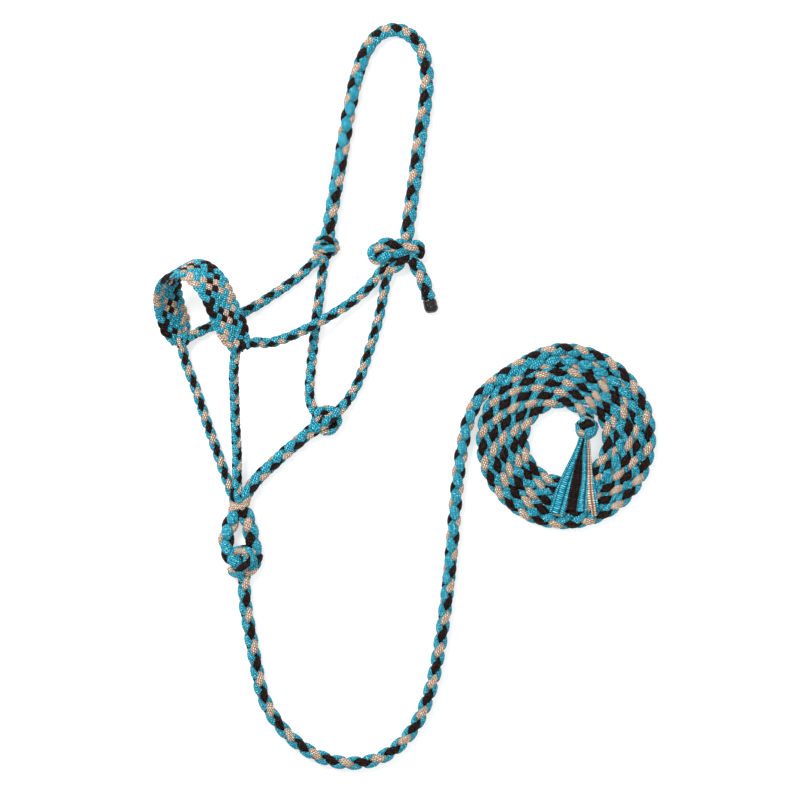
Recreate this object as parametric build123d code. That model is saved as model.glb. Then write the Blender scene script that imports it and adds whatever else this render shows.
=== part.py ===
# Rope halter with its lead, laid flat with the near side uppermost and the noseband standing.
# Millimetres, +Z up. The origin lies on the surface under the middle of the halter's own box.
# +Y runs from the lead hitch to the crown. The lead goes round to +X and ends in a flat coil.
# Every rope is plaited from woven tape. Here each is a plain tube of the same outer size.
from math import cos, pi, radians, sin, tan
import os

from build123d import *

# Rope sizes
crown_diameter = 16.5
lead_diameter = 15.5
leg_diameter = 12.0
loop_diameter = 18.5
band_width = 40.0
band_thickness = 7.0

# Clearances
running_gap = 0.4
tape_gap = 0.3
fold_gap = 2.0
corner_share = 0.45

# Heights of a rope's centreline when it lies on the surface
leg_height = leg_diameter / 2
lead_height = lead_diameter / 2
crown_height = crown_diameter / 2
loop_height = loop_diameter / 2 + 0.05

# Knots and wraps: centre, and half sizes
far_knot = (35.0, 67.0, 10.0)
far_knot_half = 13.5
far_knot_radius = 10.0
tie_knot = (118.0, 58.0, 14.0)
tie_half = 30.0
tie_radius = 14.0
tail_turn = (136.0, 50.0, 13.0)
tail_turn_radius = 13.0
throat_knot = (36.0, -141.6, 13.0)
throat_knot_half = (14.5, 16.0, 13.0)
chin_wrap = (-68.0, -245.0, 10.0)
chin_wrap_half = (12.5, 7.5, 10.0)
hitch = (-61.0, -311.0, 13.0)
hitch_half = (20.5, 20.5, 13.0)

# Noseband: it stands on the far corner, and the near corner is held up by its own stiffness
far_corner = (-138.0, -46.0, 11.5)
near_corner = (-65.0, -55.0, 84.0)
apex_lean = (-24.0, 85.0)
corner_radius = 11.5
band_start = 12.5
band_full = 26.0
band_end_half_width = 14.0
band_outline = [(0, 0), (-8, 44), (10, 88), (52, 108), (87, 88), (94, 43), (104, 0)]

# Lead coil: a flat spiral one rope high, with a crown knot and its tape ends on top
coil_centre = (319.0, -165.0)
coil_outer = 111.0
coil_inner = 39.0
coil_edge = 6.0
end_knot = (347.0, -148.0, 15.0)
end_knot_radius = 14.5

# Tape ends fan out from the end knot: angle of the fan's first edge, and each tape's share
tape_first_angle = 245.7
tape_start = 22.0
tape_thickness = 2.0
tape_widths = [19.0, 8.0, 8.0, 5.0, 8.0, 5.0, 6.0, 3.5]
tape_lengths = [112.0, 104.0, 103.0, 104.0, 104.0, 97.0, 109.0, 100.0]
tape_reach = 112.0

# Whipped end of the crown tail
cap_radius = 8.2
cap_length = 18.0
cap_edge = 2.5

# Routes: hand-placed points, each rope passing inside its corners
crown_route = [
    (35, 70, 8.5), (41, 106, crown_height), (50, 155, crown_height), (58, 204, crown_height),
    (66, 248, crown_height), (77, 290, crown_height), (94, 320, crown_height),
    (121, 329, crown_height), (147, 312, crown_height), (157, 276, crown_height),
    (154, 236, crown_height), (147, 195, crown_height), (142, 151, crown_height),
    (135, 105, crown_height), (130, 66, 9.5),
]
crown_tail_route = [
    (139, 47, 9.5), (149, 33, crown_height), (155, 16, crown_height), (158, 4, crown_height),
]
far_cheek_route = [
    (-138, -46, 11.5), (-103, -29, 7), (-60, -12, leg_height), (-20, 14, leg_height),
    (9, 35, leg_height), (32, 60, 8),
]
near_cheek_route = [
    (110, 50, 12), (92, 22, 8), (64, -2, 10), (30, -23, 20), (-2, -40, 35),
    (-32, -52, 54), (-50, -50, 70), (-65, -55, 84),
]
far_throat_route = [
    (34, 60, 9), (29, 20, leg_height), (23, -20, leg_height), (19, -60, leg_height),
    (15, -98, leg_height), (15, -126, leg_height), (30, -142, 9),
]
near_throat_route = [
    (110, 46, 11), (104, 8, leg_height), (96, -30, leg_height), (84, -66, leg_height),
    (73, -100, leg_height), (54, -128, leg_height), (38, -142, 9),
]
throat_chin_route = [
    (31, -143, 9), (8, -162, lead_height), (-18, -184, lead_height),
    (-44, -208, lead_height), (-62, -228, 8.5), (-67, -245, 10),
]
far_chin_route = [
    (-138, -46, 11.5), (-136, -68, 7.5), (-123, -98, leg_height), (-113, -130, leg_height),
    (-99, -170, leg_height), (-86, -208, leg_height), (-73, -243, 9),
]
near_chin_route = [
    (-65, -55, 84), (-73, -76, 74), (-73, -108, 53), (-73, -144, 33), (-71, -180, 19),
    (-71, -216, 14), (-68, -244, 12),
]
lead_loop_route = [
    (-70, -246, 10), (-80, -266, loop_height), (-86, -286, loop_height), (-80, -307, 10),
    (-63, -317, 11), (-49, -306, 10), (-54, -284, loop_height), (-57, -265, loop_height),
    (-65, -246, 10),
]
lead_route = [
    (-63, -321, 9), (-64, -350, lead_height), (-57, -392, lead_height),
    (-49, -436, lead_height), (-40, -480, lead_height), (-14, -518, lead_height),
    (24, -546, lead_height), (66, -555, lead_height), (108, -546, lead_height),
    (143, -511, lead_height), (162, -462, lead_height), (172, -410, lead_height),
    (180, -352, lead_height), (186, -294, lead_height), (190, -240, lead_height),
    (196, -184, lead_height), (206, -136, lead_height), (226, -101, lead_height),
]


def corner_radii(points):
    # the largest arc that each corner's two runs leave room for
    radii = []
    for before, corner, after in zip(points, points[1:], points[2:]):
        arriving = Vector(corner) - Vector(before)
        leaving = Vector(after) - Vector(corner)
        shorter = min(arriving.length, leaving.length)
        half_turn = radians(arriving.get_angle(leaving)) / 2
        radii.append(corner_share * shorter / tan(half_turn))
    return radii


def tube(name, points, diameter):
    radii = corner_radii(points)
    path = FilletPolyline(*points, radius=radii)
    section = Plane(origin=path @ 0, z_dir=path % 0) * Circle(diameter / 2)
    rope = sweep(section, path=path)
    expected = pi * diameter**2 / 4 * path.length
    print(f"{name}: length {path.length:.0f}, tightest bend {min(radii):.0f},"
          f" volume over section times length {rope.volume / expected:.4f}")
    return rope


def spindle(centre, direction, half_length, radius):
    # an egg of revolution about a line through its centre
    along = Plane(origin=centre, x_dir=direction, z_dir=direction.cross(Vector(0, 0, 1)))
    outline = Ellipse(half_length, radius) & Pos(0, radius) * Rectangle(2 * half_length, 2 * radius)
    return along * revolve(outline, axis=Axis.X)


def bun(centre, half_sizes):
    # an ellipsoid: a sphere stretched along each axis
    x, y, z = half_sizes
    return Pos(*centre) * scale(Sphere(1), by=(x, y, z))


def fold_line():
    return (Vector(tie_knot) - Vector(far_knot)).normalized()


def nose_plane():
    # x along the line between the corners, y towards the top of the arch
    across = Vector(near_corner) - Vector(far_corner)
    lean_x, lean_y = apex_lean
    lean_z = -(across.X * lean_x + across.Y * lean_y) / across.Z
    towards_apex = Vector(lean_x, lean_y, lean_z)
    return Plane(origin=far_corner, x_dir=across, z_dir=across.cross(towards_apex))


def crown_strap():
    rope = tube("crown_strap", crown_route, crown_diameter)
    line = fold_line()
    rope -= spindle(far_knot, line, far_knot_half + fold_gap, far_knot_radius + fold_gap)
    rope -= spindle(tie_knot, line, tie_half + fold_gap, tie_radius + fold_gap)
    return rope


def nose_plait():
    path = FilletPolyline(*band_outline, radius=corner_radii([(*p, 0) for p in band_outline]))
    ribbon = extrude(trace(path, line_width=band_thickness), amount=band_width / 2, both=True)
    span = (Vector(near_corner) - Vector(far_corner)).length
    top = 2 * span
    half = band_width / 2
    taper = Polyline(
        (band_start, band_end_half_width), (band_full, half), (top, half),
        (top, -half), (band_full, -half), (band_start, -band_end_half_width), close=True,
    )
    side = extrude(Plane.YZ * make_face(taper), amount=2 * span, both=True)
    return nose_plane() * (ribbon & side)


def crown_tail():
    rope = tube("crown_tail", crown_tail_route, crown_diameter)
    return rope - Pos(*tail_turn) * Sphere(tail_turn_radius + running_gap)


def crown_tail_cap():
    last_run = Vector(crown_tail_route[-1]) - Vector(crown_tail_route[-2])
    facing = Plane(origin=crown_tail_route[-1], z_dir=last_run)
    whipping = extrude(Circle(cap_radius), amount=cap_length)
    whipping = fillet(whipping.edges().sort_by(Axis.Z)[-1], radius=cap_edge)
    return facing * whipping


def lead_rope():
    rope = tube("lead_rope", lead_route, lead_diameter)
    return rope - bun(hitch, [half + running_gap for half in hitch_half])


def lead_coil():
    ring = Circle(coil_outer) - Circle(coil_inner)
    slab = extrude(ring, amount=lead_diameter)
    slab = fillet(slab.edges(), radius=coil_edge)
    slab = Pos(*coil_centre) * slab
    return slab - Pos(*end_knot) * Sphere(end_knot_radius)


def tape_ends():
    # wedges side by side in one layer, all hinged on one line through the end knot
    tapes = []
    edge = radians(tape_first_angle)
    centre = Vector(end_knot)
    for width, length in zip(tape_widths, tape_lengths):
        share = width / tape_reach
        first = Vector(cos(edge), sin(edge))
        second = Vector(cos(edge + share), sin(edge + share))
        sideways = (second - first).normalized() * (tape_gap / 2)
        corners = [
            centre + first * tape_start + sideways, centre + first * length + sideways,
            centre + second * length - sideways, centre + second * tape_start - sideways,
        ]
        outline = Polyline(*[(c.X, c.Y) for c in corners], close=True)
        tape = extrude(make_face(outline), amount=tape_thickness)
        tapes.append(Pos(0, 0, lead_diameter + running_gap) * tape)
        edge += share
    return tapes


def halter_parts():
    line = fold_line()
    return {
        "far_cheek_knot": spindle(far_knot, line, far_knot_half, far_knot_radius),
        "tie_bight": spindle(tie_knot, line, tie_half, tie_radius),
        "tie_turn": Pos(*tail_turn) * Sphere(tail_turn_radius),
        "far_cheek_strap": tube("far_cheek_strap", far_cheek_route, leg_diameter),
        "near_cheek_strap": tube("near_cheek_strap", near_cheek_route, leg_diameter),
        "far_throat_strap": tube("far_throat_strap", far_throat_route, leg_diameter),
        "near_throat_strap": tube("near_throat_strap", near_throat_route, leg_diameter),
        "throat_knot": bun(throat_knot, throat_knot_half),
        "throat_chin_strap": tube("throat_chin_strap", throat_chin_route, lead_diameter),
        "far_chin_strap": tube("far_chin_strap", far_chin_route, leg_diameter),
        "near_chin_strap": tube("near_chin_strap", near_chin_route, leg_diameter),
        "chin_wrap": bun(chin_wrap, chin_wrap_half),
        "lead_loop": tube("lead_loop", lead_loop_route, loop_diameter),
        "lead_hitch": bun(hitch, hitch_half),
        "far_nose_corner": Pos(*far_corner) * Sphere(corner_radius),
        "near_nose_corner": Pos(*near_corner) * Sphere(corner_radius),
    }


def moving_parts():
    parts = {
        "crown_strap": crown_strap(),
        "nose_plait": nose_plait(),
        "crown_tail": crown_tail(),
        "crown_tail_cap": crown_tail_cap(),
        "lead_rope": lead_rope(),
        "lead_coil": lead_coil(),
        "lead_end_knot": Pos(*end_knot) * Sphere(end_knot_radius),
    }
    for number, tape in enumerate(tape_ends(), start=1):
        parts[f"tassel_tape_{number}"] = tape
    return parts


os.makedirs("parts", exist_ok=True)
for node, shape in {**halter_parts(), **moving_parts()}.items():
    export_step(shape, f"parts/{node}.step")
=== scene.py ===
# Rope halter with a plaited lead: plaited ropes, flat noseband, knots and tape tassel.
import bpy
import numpy as np
from math import cos, pi, radians, sin
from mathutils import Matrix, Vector


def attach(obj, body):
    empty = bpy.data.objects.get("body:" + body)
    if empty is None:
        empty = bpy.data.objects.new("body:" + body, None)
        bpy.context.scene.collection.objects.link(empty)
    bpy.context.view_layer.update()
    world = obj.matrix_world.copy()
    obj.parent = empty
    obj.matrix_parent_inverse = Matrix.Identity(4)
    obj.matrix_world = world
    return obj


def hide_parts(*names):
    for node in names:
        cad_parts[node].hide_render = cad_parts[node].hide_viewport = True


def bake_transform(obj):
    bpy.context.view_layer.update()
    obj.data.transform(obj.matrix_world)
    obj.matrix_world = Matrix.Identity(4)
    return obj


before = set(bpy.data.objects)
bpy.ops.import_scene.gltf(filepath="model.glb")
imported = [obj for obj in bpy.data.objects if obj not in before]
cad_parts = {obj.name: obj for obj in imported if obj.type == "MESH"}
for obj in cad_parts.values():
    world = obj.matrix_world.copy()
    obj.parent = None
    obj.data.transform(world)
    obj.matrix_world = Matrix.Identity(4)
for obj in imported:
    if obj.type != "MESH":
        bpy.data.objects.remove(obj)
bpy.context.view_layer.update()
mm = 0.001
cm = 0.01


def srgbToLinear(hexCode):
    channels = [int(hexCode[i:i + 2], 16) / 255 for i in (1, 3, 5)]
    linear = [c / 12.92 if c <= 0.04045 else ((c + 0.055) / 1.055) ** 2.4 for c in channels]
    return (*linear, 1.0)


def addNode(tree, kind, settings=None, **links):
    # adds a node, sets its properties and inputs, and links sockets given by name, or by number as in0
    node = tree.nodes.new(kind)
    for key, value in (settings or {}).items():
        if isinstance(key, int) or key in node.inputs:
            node.inputs[key].default_value = value
        else:
            setattr(node, key, value)
    for key, source in links.items():
        target = int(key[2:]) if key.startswith("in") and key[2:].isdigit() else key.replace("_", " ")
        tree.links.new(source, node.inputs[target])
    return node


def newMaterial(name):
    material = bpy.data.materials.new(name)
    material.use_nodes = True
    tree = material.node_tree
    tree.nodes.clear()
    output = tree.nodes.new("ShaderNodeOutputMaterial")
    return material, tree, output


tapeLook = {
    "relief": 0.9 * mm,         # height of the thread over the gaps
    "roughness": 0.46,          # satin polyester
    "specular": 0.09,
    "ior": 1.5,
    "glintSize": 2.3 * mm,
    "glintDetail": 2.0,
    "glintRoughness": 0.6,
    "glintRange": (0.43, 0.66),     # part of the noise that becomes a painted glint
}
# one bump of thread is a cell, its length and height in cm;
# cells are drawn about twice their real size, because finer ones don't show
pulledTape = {"lean": 32.0, "cell": (0.31, 0.18), "gap": 0.068, "shift": 0.5}    # pulled tight, it leans
slackTape = {"lean": 0.0, "cell": (0.25, 0.27), "gap": 0.1, "shift": 0.5}        # loose end, in even rows
griddedTape = {"lean": 0.0, "cell": (0.3, 0.25), "gap": 0.1, "shift": 0.0}       # tan loose end, square grid


def wovenTape(name, threadHex, shadeHex, lightHex, weave):
    # flat woven polyester tape: rows of raised thread with painted shade in the gaps between them, broken up
    # by small painted glints
    material, tree, output = newMaterial(name)
    uv = addNode(tree, "ShaderNodeUVMap", {"uv_map": "UVMap"})
    leaning = addNode(tree, "ShaderNodeMapping", {"Rotation": (0, 0, radians(weave["lean"]))},
                      Vector=uv.outputs["UV"])
    cells = addNode(tree, "ShaderNodeTexBrick", {
        "offset": weave["shift"], "Scale": 1 / cm, "Mortar Size": weave["gap"], "Mortar Smooth": 1.0,
        "Brick Width": weave["cell"][0], "Row Height": weave["cell"][1],
    }, Vector=leaning.outputs["Vector"])
    height = addNode(tree, "ShaderNodeMath", {"operation": "SUBTRACT", 0: 1.0}, in1=cells.outputs["Fac"])
    glint = addNode(tree, "ShaderNodeTexNoise", {
        "Scale": 1 / tapeLook["glintSize"], "Detail": tapeLook["glintDetail"],
        "Roughness": tapeLook["glintRoughness"],
    }, Vector=uv.outputs["UV"])
    # painted shade: the gaps between the cells are darkened towards the shade colour
    dark = addNode(tree, "ShaderNodeMix", {"data_type": "RGBA", 6: srgbToLinear(shadeHex),
                                           7: srgbToLinear(threadHex)}, in0=height.outputs[0])
    # painted glints: the noise lightens the raised cells towards the glint colour
    low, high = tapeLook["glintRange"]
    glintRange = addNode(tree, "ShaderNodeMapRange", {"From Min": low, "From Max": high},
                         Value=glint.outputs["Fac"])
    shown = addNode(tree, "ShaderNodeMath", {"operation": "MULTIPLY"}, in0=glintRange.outputs["Result"],
                    in1=height.outputs[0])
    lit = addNode(tree, "ShaderNodeMix", {"data_type": "RGBA", 7: srgbToLinear(lightHex)},
                  in0=shown.outputs[0], in6=dark.outputs[2])
    bump = addNode(tree, "ShaderNodeBump", {"Strength": 1.0, "Distance": tapeLook["relief"]},
                   Height=height.outputs[0])
    shader = addNode(tree, "ShaderNodeBsdfPrincipled", {
        "Roughness": tapeLook["roughness"], "IOR": tapeLook["ior"],
        "Specular IOR Level": tapeLook["specular"],
    }, Base_Color=lit.outputs[2], Normal=bump.outputs["Normal"])
    tree.links.new(shader.outputs["BSDF"], output.inputs["Surface"])
    return material


rubberLook = {
    "dark": "#070606", "light": "#15110f", "roughness": 0.26, "specular": 0.4, "ior": 1.5,
    "lumpScale": 260.0,         # lumps about 4 mm across
    "relief": 0.8 * mm,
}


def whippedRubber(name):
    # rope end whipped with thread and dipped in black rubber: smooth and dark, slightly lumpy
    material, tree, output = newMaterial(name)
    coordinates = addNode(tree, "ShaderNodeTexCoord")
    lumps = addNode(tree, "ShaderNodeTexNoise", {"Scale": rubberLook["lumpScale"], "Detail": 4.0},
                    Vector=coordinates.outputs["Object"])
    bump = addNode(tree, "ShaderNodeBump", {"Strength": 0.5, "Distance": rubberLook["relief"]},
                   Height=lumps.outputs["Fac"])
    tone = addNode(tree, "ShaderNodeMix", {
        "data_type": "RGBA", 6: srgbToLinear(rubberLook["dark"]), 7: srgbToLinear(rubberLook["light"]),
    }, in0=lumps.outputs["Fac"])
    shader = addNode(tree, "ShaderNodeBsdfPrincipled", {
        "Roughness": rubberLook["roughness"], "IOR": rubberLook["ior"],
        "Specular IOR Level": rubberLook["specular"],
    }, Base_Color=tone.outputs[2], Normal=bump.outputs["Normal"])
    tree.links.new(shader.outputs["BSDF"], output.inputs["Surface"])
    return material


# colours of the thread, of the painted shade in its gaps and of its painted glints
turquoiseLook = ("#0aa8ca", "#023544", "#86f0ff")
brownLook = ("#170a09", "#040202", "#4b302a")
tanLook = ("#dbb899", "#643f2c", "#fffaf0")
turquoiseTape = wovenTape("turquoiseWovenTape", *turquoiseLook, pulledTape)
brownTape = wovenTape("brownBlackWovenTape", *brownLook, pulledTape)
tanTape = wovenTape("tanWovenTape", *tanLook, pulledTape)
tapes = [turquoiseTape, brownTape, tanTape]
turquoise, brown, tan = 0, 1, 2
slackTapes = {
    "turquoise_tape": wovenTape("turquoiseSlackTape", *turquoiseLook, slackTape),
    "black_tape": wovenTape("brownBlackSlackTape", *brownLook, slackTape),
    "tan_tape": wovenTape("tanSlackTape", *tanLook, griddedTape),
}
dippedEnd = whippedRubber("whippedRubberEnd")
print("materials ready")


def readRoute(points, spacing):
    # the line of an order 3 NURBS spline through given control points, in even steps
    data = bpy.data.curves.new("route", "CURVE")
    data.dimensions = "3D"
    spline = data.splines.new("NURBS")
    spline.points.add(len(points) - 1)
    for controlPoint, spot in zip(spline.points, points):
        controlPoint.co = (*spot, 1.0)
    spline.order_u = 3
    spline.use_endpoint_u = True
    spline.resolution_u = 16
    holder = bpy.data.objects.new("route", data)
    bpy.context.scene.collection.objects.link(holder)
    bpy.context.view_layer.update()
    line = bpy.data.meshes.new_from_object(holder)
    read = np.array([v.co[:] for v in line.vertices])
    bpy.data.objects.remove(holder)
    bpy.data.curves.remove(data)
    bpy.data.meshes.remove(line)
    along = np.concatenate([[0], np.cumsum(np.linalg.norm(np.diff(read, axis=0), axis=1))])
    count = max(int(along[-1] / spacing), 8)
    steps = np.linspace(0, along[-1], count + 1)
    return np.stack([np.interp(steps, along, read[:, axis]) for axis in range(3)], axis=1), steps


def unit(vectors):
    return vectors / np.maximum(np.linalg.norm(vectors, axis=-1, keepdims=True), 1e-12)


def routeFrames(line):
    # directions along, beside and above the line at each of its points
    tangent = unit(np.gradient(line, axis=0))
    up = np.array((0.0, 0.0, 1.0))
    normal = unit(up - (tangent @ up)[:, None] * tangent)
    side = np.cross(tangent, normal)
    return tangent, side, normal


class MeshPile:
    # gathers tubes and ribbons of tape, then makes one mesh of them
    def __init__(self):
        self.verts, self.faces, self.uvs, self.slots = [], [], [], []
        self.count = 0

    def addTube(self, line, normal, halfWide, halfThick, slot, sides=12, uvStart=0.0, flatness=1.0):
        # flatness 1 gives an oval section, and less gives a flatter one with tighter edges
        rings = len(line)
        tangent = unit(np.gradient(line, axis=0))
        lateral = unit(np.cross(normal, tangent))
        normal = np.cross(tangent, lateral)
        angles = np.linspace(0, 2 * pi, sides, endpoint=False)
        c, s = (np.sign(turn) * np.abs(turn) ** flatness for turn in (np.cos(angles), np.sin(angles)))
        wide = np.broadcast_to(halfWide, rings)[:, None, None]
        thick = np.broadcast_to(halfThick, rings)[:, None, None]
        points = (line[:, None, :] + wide * c[None, :, None] * lateral[:, None, :]
                  + thick * s[None, :, None] * normal[:, None, :])
        self.verts.append(points.reshape(-1, 3))
        along = np.concatenate([[0], np.cumsum(np.linalg.norm(np.diff(line, axis=0), axis=1))]) + uvStart
        girth = pi * float(np.mean(wide) + np.mean(thick))
        i, j = np.meshgrid(np.arange(rings - 1), np.arange(sides), indexing="ij")
        k = (j + 1) % sides
        base = self.count
        quads = np.stack([i * sides + j, i * sides + k, (i + 1) * sides + k, (i + 1) * sides + j], -1)
        self.faces.extend((quads.reshape(-1, 4) + base).tolist())
        u0, u1 = along[i], along[i + 1]
        v0, v1 = j / sides * girth, (j + 1) / sides * girth
        self.uvs.append(np.stack([np.stack([u0, v0], -1), np.stack([u0, v1], -1),
                                  np.stack([u1, v1], -1), np.stack([u1, v0], -1)], 2).reshape(-1, 2))
        self.slots.extend([slot] * (rings - 1) * sides)
        # closed ends
        for ring, order in ((0, range(sides - 1, -1, -1)), (rings - 1, range(sides))):
            self.faces.append([base + ring * sides + n for n in order])
            self.uvs.append(np.array([[along[ring], n / sides * girth] for n in order]))
            self.slots.append(slot)
        self.count += rings * sides

    def build(self, name, materials):
        mesh = bpy.data.meshes.new(name)
        mesh.from_pydata(np.concatenate(self.verts).tolist(), [], self.faces)
        layer = mesh.uv_layers.new(name="UVMap")
        layer.data.foreach_set("uv", np.concatenate(self.uvs).ravel())
        for material in materials:
            mesh.materials.append(material)
        mesh.polygons.foreach_set("material_index", self.slots)
        mesh.polygons.foreach_set("use_smooth", [True] * len(mesh.polygons))
        mesh.update()
        piece = bpy.data.objects.new(name, mesh)
        bpy.context.scene.collection.objects.link(piece)
        return piece


plait = {
    "outward": 0.335,      # strand centre where it lies on top, as a share of the rope's diameter
    "inward": 0.07,        # and where it dips under
    "halfWide": 0.335,     # half the strand's width on top
    "halfWideUnder": 0.19,
    "halfThick": 0.20,
    "dwell": 0.32,         # how long a strand stays on its own side before it crosses over
    "brownTurn": 0.75,     # the share of a turn that puts the brown strand on top
    "order": (turquoise, turquoise, brown, tan),
    "fullness": (1.12, 0.96, 0.88),    # turquoise tapes are the widest, then brown, then tan
    "weaveShift": 13.0,    # so that strands side by side don't show the same weave
}


def addPlait(pile, line, steps, rope):
    # four strands: two turquoise wind one way, brown and tan the other, each over one and under one
    diameter = rope["diameter"] * mm
    stations = rope.get("pitchAt", [(0, rope["pitch"])])       # (mm along, pitch there in mm) pairs
    density = np.interp(steps / mm, [at for at, pitch in stations], [1 / pitch for at, pitch in stations])
    wound = np.concatenate([[0], np.cumsum((density[1:] + density[:-1]) / 2 * np.diff(steps) / mm)])
    wound -= np.interp(rope.get("brownAt", 0.0), steps / mm, wound)
    tangent, side, normal = routeFrames(line)
    turns = rope.get("roll", [(0, 0)])       # (mm along, turn of the rope in degrees) pairs
    roll = np.interp(steps / mm, [at for at, turn in turns], [radians(turn) for at, turn in turns])
    level = (plait["outward"] + plait["inward"]) / 2 * diameter
    swing = (plait["outward"] - plait["inward"]) / 2 * diameter
    for strand, slot in enumerate(plait["order"]):
        way = 1 if strand < 2 else -1
        wind = 2 * pi * (wound + plait["brownTurn"])
        angle = way * (wind - way * plait["dwell"] * np.sin(2 * wind)) + pi * (strand % 2)
        onTop = way * np.cos(2 * angle)
        turned = angle + roll
        outward = np.cos(turned)[:, None] * side + np.sin(turned)[:, None] * normal
        wide = plait["halfWideUnder"] + (plait["halfWide"] - plait["halfWideUnder"]) * (onTop + 1) / 2
        pile.addTube(line + (level + swing * onTop)[:, None] * outward, outward,
                     wide * plait["fullness"][slot] * diameter, plait["halfThick"] * diameter, slot,
                     uvStart=plait["weaveShift"] * mm * strand)


def ropePiece(name, routes, rope):
    # plaits one rope along each route, and joins them in one piece
    pile = MeshPile()
    for number, route in enumerate(routes):
        line, steps = readRoute([Vector(p) * mm for p in route], rope["step"] * mm)
        own = rope["own"][number] if "own" in rope else {}
        addPlait(pile, line, steps, {**rope, **own})
    return pile.build(name, tapes), line


knotMake = {
    "step": 1.0, "weaveShift": 7.0,
    "endSize": 0.7,             # a strand's ends are tucked in, smaller than its middle
    "coreSize": 0.85, "coreRings": 15, "coreSides": 20, "poleSize": 0.05,
}


def addStrand(pile, points, wide, thick, slot, centre):
    # one strand of tape through given points, its face turned away from the knot's centre
    line, steps = readRoute([Vector(p) * mm for p in points], knotMake["step"] * mm)
    face = unit(line - np.array(centre) * mm)
    swell = knotMake["endSize"] + (1 - knotMake["endSize"]) * np.sin(pi * steps / steps[-1])
    pile.addTube(line, face, wide / 2 * mm * swell, thick / 2 * mm * swell, slot,
                 uvStart=knotMake["weaveShift"] * mm * slot)


def addCore(pile, centre, halfSizes, slot):
    # the filled middle of a knot, which shows only in the gaps between its strands
    halfX, halfY, halfZ = (half * knotMake["coreSize"] for half in halfSizes)
    rise = np.sin(np.linspace(-pi / 2, pi / 2, knotMake["coreRings"]))
    line = np.array(centre) * mm + np.outer(rise, (0, 0, halfZ * mm))
    ringSize = np.maximum(np.sqrt(1 - rise**2), knotMake["poleSize"])
    pile.addTube(line, np.tile((0.0, 1.0, 0.0), (len(line), 1)), halfX * mm * ringSize,
                 halfY * mm * ringSize, slot, sides=knotMake["coreSides"])


def onKnot(centre, halfSizes, bearings):
    # points on an egg-shaped knot, given as (compass angle, height angle) in degrees
    points = []
    for turn, rise in bearings:
        turn, rise = radians(turn), radians(rise)
        direction = (cos(turn) * cos(rise), sin(turn) * cos(rise), sin(rise))
        points.append(tuple(c + h * part for c, h, part in zip(centre, halfSizes, direction)))
    return points


def place(piece, body, slot, *nodes):
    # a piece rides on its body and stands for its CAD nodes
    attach(piece, body)
    if nodes:
        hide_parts(*nodes)


def lengthOf(line):
    # distance from end to end along a line of points
    return float(np.linalg.norm(np.diff(line, axis=0), axis=1).sum())


legRope = {"diameter": 12.0, "pitch": 29.0, "step": 1.6}
thickRope = {"diameter": 15.5, "pitch": 39.0, "step": 2.0}
crownRope = {"diameter": 16.5, "pitch": 38.0, "step": 2.0}

straps = {
    "crownStrap": {
        "node": "crown_strap", "body": "crown", **crownRope, "brownAt": 25,
        "pitchAt": [(0, 38), (245, 38), (252, 23.9), (308, 23.9), (318, 38), (563, 38)],
        "roll": [(0, -20), (60, -30), (110, -60), (160, -95), (210, -130), (270, -150), (320, -178),
                 (370, -205), (420, -218), (520, -215), (563, -200)],
        "route": [(35, 66, 9), (41, 106, 8.25), (50, 155, 8.25), (58, 204, 8.25), (66, 248, 8.25),
                  (77, 290, 8.25), (94, 320, 8.25), (121, 329, 8.25), (147, 312, 8.25),
                  (157, 276, 8.25), (154, 236, 8.25), (147, 195, 8.25), (142, 151, 8.25),
                  (135, 105, 8.25), (130, 64, 10)],
    },
    "farCheekStrap": {
        "node": "far_cheek_strap", "body": "halter", **legRope, "roll": [(0, 35)], "brownAt": 3,
        "route": [(-138, -46, 11.5), (-103, -29, 7), (-60, -12, 6), (-20, 14, 6), (9, 35, 6), (32, 60, 8)],
    },
    "nearCheekStrap": {
        "node": "near_cheek_strap", "body": "halter", **legRope, "roll": [(0, 20), (60, 38)], "brownAt": 12,
        "route": [(110, 50, 12), (92, 22, 8), (64, -2, 10), (30, -23, 20), (-2, -40, 35),
                  (-32, -51, 54), (-47, -48, 69), (-58, -52, 78)],
    },
    "farThroatStrap": {
        "node": "far_throat_strap", "body": "halter", **legRope, "brownAt": 21,
        "roll": [(0, 0), (60, -35), (100, -75), (140, -100), (200, -130)],
        "pitchAt": [(0, 29), (75, 29), (90, 26.4), (208, 26.4)],
        "route": [(34, 60, 9), (29, 20, 6), (23, -20, 6), (19, -60, 6), (15, -98, 6), (15, -126, 6),
                  (30, -142, 9)],
    },
    "nearThroatStrap": {
        "node": "near_throat_strap", "body": "halter", **legRope, "pitch": 29.9,
        "roll": [(0, -20)], "brownAt": 24,
        "route": [(110, 46, 11), (104, 8, 6), (96, -30, 6), (84, -66, 6), (73, -100, 6), (54, -128, 6),
                  (38, -142, 9)],
    },
    "throatChinStrap": {
        "node": "throat_chin_strap", "body": "halter", **thickRope, "pitch": 38.0,
        "roll": [(0, 60)], "brownAt": 1,
        "route": [(31, -143, 9), (8, -162, 7.75), (-18, -184, 7.75), (-44, -208, 7.75), (-59, -226, 12),
                  (-66, -243, 11)],
    },
    "farChinStrap": {
        "node": "far_chin_strap", "body": "halter", **legRope, "roll": [(0, 10)], "brownAt": 23,
        "route": [(-138, -46, 11.5), (-136, -68, 7.5), (-123, -98, 6), (-113, -130, 6), (-99, -170, 6),
                  (-86, -208, 6), (-73, -243, 9)],
    },
    "nearChinStrap": {
        "node": "near_chin_strap", "body": "halter", **legRope, "roll": [(0, 60)], "brownAt": 30,
        "route": [(-69, -54, 87), (-74, -78, 76), (-73, -108, 53), (-73, -144, 33), (-71, -180, 19),
                  (-72, -216, 11), (-70, -244, 9)],
    },
}

for name, strap in straps.items():
    piece, line = ropePiece(name, [strap["route"]], strap)
    place(piece, strap["body"], "plaited_rope", strap["node"])
print("straps plaited")

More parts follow.
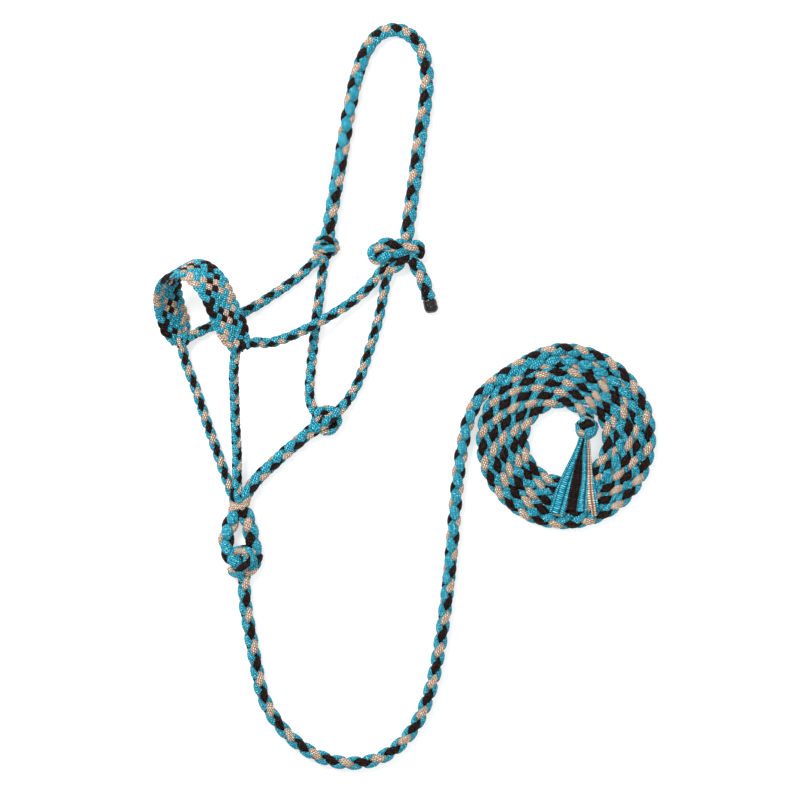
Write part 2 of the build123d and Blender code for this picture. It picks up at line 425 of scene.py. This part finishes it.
leadHeight = 7.75
leadRoute = [
    (-63, -314, 9), (-64, -350, leadHeight), (-57, -392, leadHeight), (-49, -436, leadHeight),
    (-40, -480, leadHeight), (-14, -518, leadHeight), (24, -546, leadHeight), (66, -555, leadHeight),
    (108, -546, leadHeight), (143, -511, leadHeight), (162, -462, leadHeight), (172, -410, leadHeight),
    (180, -352, leadHeight), (186, -294, leadHeight), (190, -240, leadHeight), (196, -184, leadHeight),
    (206, -136, leadHeight), (226, -101, leadHeight),
]
coil = {"centre": (319.0, -165.0), "startAngle": 145.0, "startRadius": 113.0, "outerRadius": 102.0,
        "innerRadius": 46.0, "turns": 5.2, "pointsPerTurn": 16, "easeTurns": 0.6}
leadRoll = [
    (0, 30), (100, 30), (250, 15), (380, 0), (480, 0), (560, -40), (640, -85), (760, -95), (830, -120),
    (880, -135), (960, -150), (1066, -200), (1150, -180), (1226, -140), (1310, -150), (1400, -180),
    (1500, -240), (1600, -270), (1700, -210), (1850, -180), (2000, -200), (2150, -180), (2300, -160),
    (2500, -190), (2700, -240), (2900, -200), (3300, -180),
]


def coilPoints():
    # the lead comes in wide, eases on to the outermost turn, and winds inwards by one rope for each turn
    points = []
    centreX, centreY = coil["centre"]
    start, outer, inner = coil["startRadius"], coil["outerRadius"], coil["innerRadius"]
    total = int(coil["turns"] * coil["pointsPerTurn"])
    for number in range(2, total + 1):
        turned = number / coil["pointsPerTurn"]
        if turned < coil["easeTurns"]:
            radius = start - (start - outer) * turned / coil["easeTurns"]
        else:
            share = (turned - coil["easeTurns"]) / (coil["turns"] - coil["easeTurns"])
            radius = outer - (outer - inner) * share
        angle = radians(coil["startAngle"] - 360 * turned)
        points.append((centreX + radius * cos(angle), centreY + radius * sin(angle), leadHeight))
    return points


leadEnd = [(353, -139, 9), (347, -147, 12)]
leadPiece, leadLine = ropePiece("leadRope", [leadRoute + coilPoints() + leadEnd],
                                {**thickRope, "step": 2.2, "roll": leadRoll, "brownAt": 3})
place(leadPiece, "lead", "plaited_rope", "lead_rope", "lead_coil")
print("lead", round(lengthOf(leadLine), 3), "m")

endKnot = {
    "centre": (347, -151, 15), "halfSizes": (12.8, 12.8, 11.5), "thick": 6.5,
    "strands": [    # tape, width, and the bearings it passes over
        (turquoise, 11, [(90, -25), (140, -30), (200, -25), (250, -30)]),
        (brown, 11, [(240, -20), (300, -30), (360, -20)]),
        (turquoise, 11, [(0, -20), (50, -25), (100, -15)]),
        (tan, 10, [(0, -5), (49, 20), (105, 5)]),
        (brown, 13, [(160, 26), (122, 60), (72, 58), (28, 40)]),
        (turquoise, 10, [(35, 40), (85, 42), (135, 34), (165, 0)]),
        (turquoise, 10, [(125, 30), (172, 32), (215, 22), (235, -10)]),
        (turquoise, 13, [(-95, 0), (-62, 36), (-12, 46), (30, 15)]),
        (tan, 9, [(192, 26), (220, 44), (252, 50)]),
        (turquoise, 10, [(-40, 60), (-75, 42), (-100, 12)]),
        (turquoise, 8, [(240, 66), (300, 68), (350, 60)]),
    ],
}


def knotOfStrands(name, knot):
    # a dark core with tapes laid over it
    pile = MeshPile()
    addCore(pile, knot["centre"], knot["halfSizes"], brown)
    for slot, wide, bearings in knot["strands"]:
        addStrand(pile, onKnot(knot["centre"], knot["halfSizes"], bearings), wide, knot["thick"], slot,
                  knot["centre"])
    return pile.build(name, tapes)


endKnotPiece = knotOfStrands("endKnot", endKnot)
place(endKnotPiece, "lead", "plaited_rope", "lead_end_knot")

tassel = {
    "apex": (347, -148), "firstAngle": 245.7, "reach": 112.0, "start": 8.0, "step": 0.6,
    "thick": 1.5, "ribSpacing": 2.5, "ribDepth": 0.22,
    "sides": 16, "flatness": 0.6,
    "height": 17.0, "hump": 1.2, "humpAt": 0.12, "ripple": 0.25,    # where a tape lies, and how it bends
    "sway": 0.8, "swayTurns": 1.2, "twist": 0.12,
    "bunchReach": 48.0,         # the tapes lie over one another up to about here
    "narrowest": 0.5,           # share of a tape's width that shows at the knot
    "fanStart": 0.28, "fanGain": 0.9,
    "widths": [19.0, 8.0, 8.0, 5.0, 8.0, 5.0, 6.0, 3.5],
    "lengths": [112.0, 104.0, 103.0, 104.0, 104.0, 97.0, 109.0, 100.0],
    "bunched": [-0.8, 1.2, 0.8, 2.0, 1.5, 0.6, 2.4, 0.0],     # height of each tape in the bunch by the knot
    "slots": ["turquoise_tape", "black_tape", "black_tape", "turquoise_tape", "turquoise_tape", "tan_tape",
              "tan_tape", "turquoise_tape"],
}


def tasselTapes():
    # flat tape ends that leave the knot in a bunch and fan out side by side over the coil
    pieces = []
    edge = radians(tassel["firstAngle"])
    for number, width in enumerate(tassel["widths"]):
        share = width / tassel["reach"]
        middle = edge + share / 2
        edge += share
        length = tassel["lengths"][number]
        reachOut = np.arange(tassel["start"], length, tassel["step"])
        along = (reachOut - tassel["start"]) / (length - tassel["start"])
        sway = tassel["sway"] * np.sin(2 * pi * along * tassel["swayTurns"] + number)
        direction = np.array([cos(middle), sin(middle), 0])
        across = np.array([-sin(middle), cos(middle), 0])
        rise = tassel["height"] + tassel["hump"] * np.exp(-(along / tassel["humpAt"] - 1) ** 2)
        rise += tassel["ripple"] * np.sin(9 * along + 2 * number)
        rise += tassel["bunched"][number] * np.exp(-(reachOut / tassel["bunchReach"]) ** 2)
        line = (np.array([*tassel["apex"], 0]) + np.outer(reachOut, direction) + np.outer(sway, across)
                + np.outer(rise, (0, 0, 1))) * mm
        fan = np.clip(tassel["fanStart"] + reachOut / tassel["reach"] * tassel["fanGain"],
                      tassel["narrowest"], 1.0)
        tilt = tassel["twist"] * np.sin(3 * along + 1.7 * number)
        face = unit(np.outer(np.cos(tilt), (0, 0, 1)) + np.outer(np.sin(tilt), across))
        rib = 1 + tassel["ribDepth"] * np.cos(2 * pi * reachOut / tassel["ribSpacing"])
        pile = MeshPile()
        pile.addTube(line, face, width / 2 * mm * fan, tassel["thick"] / 2 * mm * rib, 0,
                     sides=tassel["sides"], flatness=tassel["flatness"])
        slot = tassel["slots"][number]
        piece = pile.build(f"tasselTape{number + 1}", [slackTapes[slot]])
        place(piece, f"tassel_tape_{number + 1}", slot, f"tassel_tape_{number + 1}")
        pieces.append(piece)
    return pieces


tasselPieces = tasselTapes()
print("lead end knotted, tapes fanned out")

leadLoop = {
    "diameter": 18.5, "pitch": 38.0, "step": 1.6, "brownAt": 4,
    "roll": [(0, 80), (75, 90), (110, 30), (160, 0)],
    "route": [(-70, -246, 10), (-80, -266, 9.3), (-86, -286, 9.3), (-80, -307, 10), (-63, -317, 11),
              (-49, -306, 10), (-54, -284, 9.3), (-57, -265, 9.3), (-65, -246, 10)],
}
loopPiece, loopLine = ropePiece("leadLoop", [leadLoop["route"]], leadLoop)
place(loopPiece, "halter", "plaited_rope", "lead_loop")

knots = {
    "leadHitch": {
        "node": "lead_hitch", "diameter": 15.0, "pitch": 38.0, "step": 1.4,
        "routes": [[(-79, -312, 7), (-74, -299, 13), (-61, -295, 18), (-55, -306, 21), (-62, -318, 21),
                    (-73, -325, 15), (-78, -321, 8)],
                   [(-48, -303, 8), (-49, -314, 10), (-57, -322, 11), (-67, -324, 10)]],
        "own": [{"roll": [(0, -20), (80, -20)], "pitch": 54, "brownAt": 52, "diameter": 13.5},
                {"roll": [(0, 60)], "brownAt": 2}],
    },
    "farCheekKnot": {
        "node": "far_cheek_knot", "pitch": 32.0, "step": 1.2,
        "routes": [[(25, 64, 4), (24, 70, 10), (30, 74.5, 15), (38, 74.5, 16), (45, 70, 12), (47, 65, 5)],
                   [(24, 65, 4), (25, 64, 12), (32, 65, 18), (39, 64, 18), (44, 62, 11), (43, 60, 5)],
                   [(23, 60, 6), (27, 58.5, 12), (33, 56, 14), (38, 54, 9)]],
        "own": [{"diameter": 11.5, "roll": [(0, 10)], "brownAt": 24},
                {"diameter": 12.0, "roll": [(0, 98)], "brownAt": 16},
                {"diameter": 9.5, "roll": [(0, 0)], "brownAt": 24}],
    },
    "throatKnot": {
        "node": "throat_knot", "diameter": 12.0, "pitch": 29.0, "step": 1.2,
        "routes": [[(22, -152, 8), (22, -138, 11), (31, -129, 13), (44, -130, 12), (50, -142, 11),
                    (43, -154, 11), (30, -156, 9)],
                   [(60, -119, 8), (52, -129, 15), (44, -137, 20), (35, -144, 20), (26, -151, 13),
                    (18, -157, 9)]],
        "own": [{"roll": [(0, -40), (40, -60), (80, 0)]}, {"roll": [(0, 60), (60, 90)]}],
    },
    "tieBight": {
        "node": "tie_bight", "diameter": 15.5, "pitch": 38.0, "step": 1.4,
        "routes": [[(148, 57, 7), (148, 67, 14), (135, 64.5, 20), (118, 69, 20), (101, 68.5, 18),
                    (91, 60, 14), (93, 51, 14), (106, 54.5, 19), (121, 58, 17), (131, 62, 12)]],
        "own": [{"roll": [(0, 0), (60, 10), (75, 60), (110, 90)], "brownAt": 42}],
    },
    "tieTurn": {
        "node": "tie_turn", "diameter": 14.0, "pitch": 38.0, "step": 1.4,
        "routes": [[(108, 35, 5), (117, 41, 11), (126, 48, 16), (134, 57, 15), (139, 66, 9)]],
        "own": [{"roll": [(0, 0)], "brownAt": 26}],
    },
}
for name, knot in knots.items():
    place(ropePiece(name, knot["routes"], knot)[0], "halter", "plaited_rope", knot["node"])
print("knots tied")

crownTail = {**crownRope, "step": 1.4, "roll": [(0, -25)], "brownAt": 16,
             "route": [(132, 61, 12), (140, 48, 11), (149, 33, 8.5), (155, 16, 8.25), (158, 4, 8.25)]}
place(ropePiece("crownTail", [crownTail["route"]], crownTail)[0], "crown_tail", "plaited_rope", "crown_tail")

cap = {
    "radius": 8.1, "length": 18.5, "edge": 5.4, "edgeSteps": 6, "sides": 40,
    "start": (158, 4, 8.25), "before": (155, 16, 8.25),     # the rope's end, and a point just before it
    "overlap": 1.0,             # how much of the rope's end is inside the cap
    "grain": 0.7, "lumpSize": 4.5, "lumpHeight": 1.8,
}


def dippedCap():
    # a short plug over the rope's end, its rim rounded and its skin lumpy
    run = (Vector(cap["start"]) - Vector(cap["before"])).normalized()
    bpy.ops.object.select_all(action="DESELECT")
    bpy.ops.mesh.primitive_cylinder_add(
        vertices=cap["sides"], radius=cap["radius"] * mm, depth=cap["length"] * mm,
        location=(Vector(cap["start"]) + run * (cap["length"] / 2 - cap["overlap"])) * mm,
        rotation=run.to_track_quat("Z", "Y").to_euler())
    piece = bpy.context.object
    piece.name = "crownTailCap"
    bpy.ops.object.transform_apply(location=True, rotation=True, scale=True)
    rim = piece.modifiers.new("roundedRim", "BEVEL")
    rim.width, rim.segments, rim.limit_method = cap["edge"] * mm, cap["edgeSteps"], "ANGLE"
    bpy.ops.object.modifier_apply(modifier="roundedRim")
    remesh = piece.modifiers.new("evenGrain", "REMESH")
    remesh.mode, remesh.voxel_size = "VOXEL", cap["grain"] * mm
    lumps = bpy.data.textures.new("dippedLumps", "CLOUDS")
    lumps.noise_scale = cap["lumpSize"] * mm
    swell = piece.modifiers.new("lumps", "DISPLACE")
    swell.texture, swell.strength, swell.texture_coords = lumps, cap["lumpHeight"] * mm, "LOCAL"
    bpy.ops.object.modifier_apply(modifier="evenGrain")
    bpy.ops.object.modifier_apply(modifier="lumps")
    bpy.ops.object.shade_smooth()
    piece.data.materials.clear()
    piece.data.materials.append(dippedEnd)
    place(piece, "crown_tail", "black_cap", "crown_tail_cap")


dippedCap()
print("crown tail and cap made")

noseband = {
    "farCorner": (-138, -46, 11.5), "nearCorner": (-65, -55, 84), "lean": (-24, 85),
    "outline": [(0, 0), (-8, 43), (10, 85), (52, 103), (87, 85), (94, 42), (104, 0)],
    "width": 46.0, "endWidth": 31.0, "fullAt": 20.0,
    "crossing": 5.2,            # distance along the band from one crossing to the next
    "patternStart": 9.0,
    "step": 0.9, "strandWide": 8.8, "strandThick": 4.2, "lift": 1.8,
    "edgeInset": 0.33,          # how far a strand stays inside the edge, as a share of its width
    "edgeEase": 0.95,           # below 1, a strand rounds its turn at the edge
    "squeeze": 0.7,             # how much strands narrow with the band: 0 not at all, 1 fully
    "bendLength": 26.0,         # length of the part at each end of the band; its end point is found but not used
    "weaveShift": 11.0,
    "order": (turquoise, turquoise, tan, tan, turquoise, turquoise, brown, brown),
}


def nosePlane():
    # the standing arch's own plane: where it starts, and its three directions
    far, near = Vector(noseband["farCorner"]), Vector(noseband["nearCorner"])
    across = near - far
    leanX, leanY = noseband["lean"]
    towardsTop = Vector((leanX, leanY, -(across.x * leanX + across.y * leanY) / across.z))
    widthways = across.cross(towardsTop).normalized()
    along = across.normalized()
    return far, along, widthways.cross(along), widthways


def liftOf(beat):
    # over one, under one, with an easy turn at each edge of the band; beats run from 0 to 16
    return np.select(
        [beat < 1, beat < 7, beat < 9, beat < 15],
        [-np.cos(pi * (beat + 1) / 2), -np.cos(pi * beat),
         np.cos(pi * (beat - 7) / 2), np.cos(pi * (beat - 8))],
        -np.cos(pi * (beat - 15) / 2))


def flatPlait():
    # eight strands go to and fro across the band; it is made as two halves that meet at the top
    origin, along, upwards, widthways = nosePlane()
    points = [(origin + along * u + upwards * v) * mm for u, v in noseband["outline"]]
    line, steps = readRoute(points, noseband["step"] * mm)
    width = np.array(widthways)
    tangent = unit(np.gradient(line, axis=0))
    outward = unit(np.cross(width, tangent))
    height = (line - np.array(origin) * mm) @ np.array(upwards) / mm
    full = np.interp(height, [0, noseband["fullAt"]], [noseband["endWidth"], noseband["width"]])
    reach = (full / 2 - noseband["edgeInset"] * noseband["strandWide"]) * mm
    ease = noseband["edgeEase"]
    strands = []
    for number, slot in enumerate(noseband["order"]):
        beat = ((steps / mm - noseband["patternStart"]) / noseband["crossing"] + 2 * number) % 16
        across = np.arcsin(ease * np.cos(pi * beat / 8)) / np.arcsin(ease)
        lift = noseband["lift"] * mm * liftOf(beat)
        strands.append((line + (across * reach)[:, None] * width + lift[:, None] * outward, slot))
    middle = len(line) // 2
    bendSteps = int(noseband["bendLength"] / noseband["step"])
    for name, part, corner, bendEnd in (
            ("nosebandFarHalf", slice(0, middle + 1), "farCorner", line[bendSteps]),
            ("nosebandNearHalf", slice(middle, None), "nearCorner", line[-bendSteps])):
        pile = MeshPile()
        for strandLine, slot in strands:
            squeeze = (full[part] / noseband["width"]) ** noseband["squeeze"]
            pile.addTube(strandLine[part], outward[part], noseband["strandWide"] / 2 * mm * squeeze,
                         noseband["strandThick"] / 2 * mm * squeeze, slot,
                         uvStart=noseband["weaveShift"] * mm * slot)
        piece = pile.build(name, tapes)
        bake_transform(piece)
        if corner == "farCorner":
            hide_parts("nose_plait")


flatPlait()
corners = {
    "farNoseCorner": {
        "node": "far_nose_corner", "centre": (-138, -46, 11.5), "halfSizes": (9, 9, 8.5), "thick": 5.0,
        "strands": [(turquoise, 9, [(30, 20), (90, 50), (150, 20), (190, -20)]),
                    (brown, 9, [(0, 10), (-60, 30), (-120, 10)]),
                    (tan, 9, [(120, 40), (200, 50), (270, 20)]),
                    (turquoise, 9, [(60, -10), (0, 50), (-70, 20)]),
                    (turquoise, 9, [(150, -30), (220, -10), (290, -30)]),
                    (brown, 9, [(90, -30), (30, -20), (-40, -30)])],
    },
    "nearNoseCorner": {
        "node": "near_nose_corner", "centre": (-65, -52.5, 84), "halfSizes": (10.5, 8.0, 7.5), "thick": 4.5,
        "strands": [(turquoise, 10, [(150, -30), (220, -10), (290, -30)]),
                    (brown, 10, [(90, -30), (30, -20), (-40, -30)]),
                    (turquoise, 9, [(165, 25), (200, 15), (240, 5)]),
                    (tan, 9, [(110, 50), (170, 62), (215, 48)]),
                    (brown, 9, [(95, 62), (20, 66), (-25, 52)]),
                    (turquoise, 9, [(62, 22), (18, 30), (-22, 12)]),
                    (brown, 9, [(205, 32), (238, 40), (262, 18)])],
    },
}
for name, corner in corners.items():
    place(knotOfStrands(name, corner), "halter", "plaited_rope", corner["node"])

chinWrap = {
    "centre": (-69.2, -245.0, 10), "halfSizes": (10.2, 9.8), "rings": 72, "flatness": 0.9, "weaveShift": 10.0,
    "strands": [(6.4, 3.4, -3.3, 0.0), (6.6, 3.4, 3.4, 1.2)],   # width, thickness, lean, lift
}


def wrapChin():
    # two turns of tan tape round the ropes under the chin, crossing in front
    pile = MeshPile()
    cx, cy, cz = chinWrap["centre"]
    halfX, halfZ = chinWrap["halfSizes"]
    turned = np.linspace(0, 2 * pi, chinWrap["rings"])
    face = unit(np.stack([np.cos(turned), 0 * turned, np.sin(turned)], axis=1))
    for wide, thick, lean, lift in chinWrap["strands"]:
        line = np.stack([
            cx + (halfX + lift) * np.cos(turned), cy + lean * np.cos(turned),
            cz + (halfZ + lift * np.clip(np.sin(turned), 0, 1)) * np.sin(turned)], axis=1) * mm
        pile.addTube(line, face, wide / 2 * mm, thick / 2 * mm, 0, flatness=chinWrap["flatness"],
                     uvStart=chinWrap["weaveShift"] * mm * lift)
    place(pile.build("chinWrap", [tanTape]), "halter", "tan_tape", "chin_wrap")


wrapChin()
print("noseband plaited, corners and chin wrapped")


studio = {
    "floorSize": 6.0, "floorPlace": (0.12, -0.12, -0.0005), "floorColour": "#c4c4c4",
    "floorGlow": 0.55, "skyStrength": 0.72,
    "aim": (0.12, -0.12, 0.0),
    "lights": {         # place, size in metres and power in watts
        "keyLight": ((-1.0, 1.0, 1.9), 1.0, 62.0),
        "fillLight": ((1.4, -0.6, 2.0), 1.6, 12.0),
    },
    "lens": 200.0, "sensor": 36.0, "viewWidth": 0.96,    # the camera looks straight down on this width
    "cameraOver": (0.1236, -0.1176),
}


def stageAndLight():
    # pale floor, soft light from two panels, and a camera straight above
    bpy.ops.object.select_all(action="DESELECT")
    bpy.ops.mesh.primitive_plane_add(size=studio["floorSize"], location=studio["floorPlace"])
    floor = bpy.context.object
    floor.name = "floor"
    material, tree, output = newMaterial("paleFloor")
    shader = addNode(tree, "ShaderNodeBsdfPrincipled", {
        "Base Color": srgbToLinear(studio["floorColour"]), "Roughness": 0.9, "Specular IOR Level": 0.0,
        "Emission Color": (1, 1, 1, 1), "Emission Strength": studio["floorGlow"]})
    tree.links.new(shader.outputs["BSDF"], output.inputs["Surface"])
    floor.data.materials.append(material)
    world = bpy.data.worlds.new("studio")
    world.use_nodes = True
    sky = world.node_tree.nodes["Background"]
    sky.inputs["Color"].default_value = (1, 1, 1, 1)
    sky.inputs["Strength"].default_value = studio["skyStrength"]
    bpy.context.scene.world = world
    for name, (position, size, power) in studio["lights"].items():
        data = bpy.data.lights.new(name, "AREA")
        data.size = size
        data.energy = power
        light = bpy.data.objects.new(name, data)
        light.location = position
        towardsAim = Vector(studio["aim"]) - Vector(position)
        light.rotation_euler = towardsAim.to_track_quat("-Z", "Y").to_euler()
        bpy.context.scene.collection.objects.link(light)
    data = bpy.data.cameras.new("camera")
    data.lens = studio["lens"]
    data.sensor_width = studio["sensor"]
    data.clip_end = 50
    camera = bpy.data.objects.new("camera", data)
    camera.location = (*studio["cameraOver"], studio["viewWidth"] * studio["lens"] / studio["sensor"])
    camera.rotation_euler = (0, 0, 0)
    bpy.context.scene.collection.objects.link(camera)
    bpy.context.scene.camera = camera
    bpy.context.scene.view_settings.view_transform = "Standard"


stageAndLight()
print("stage set")
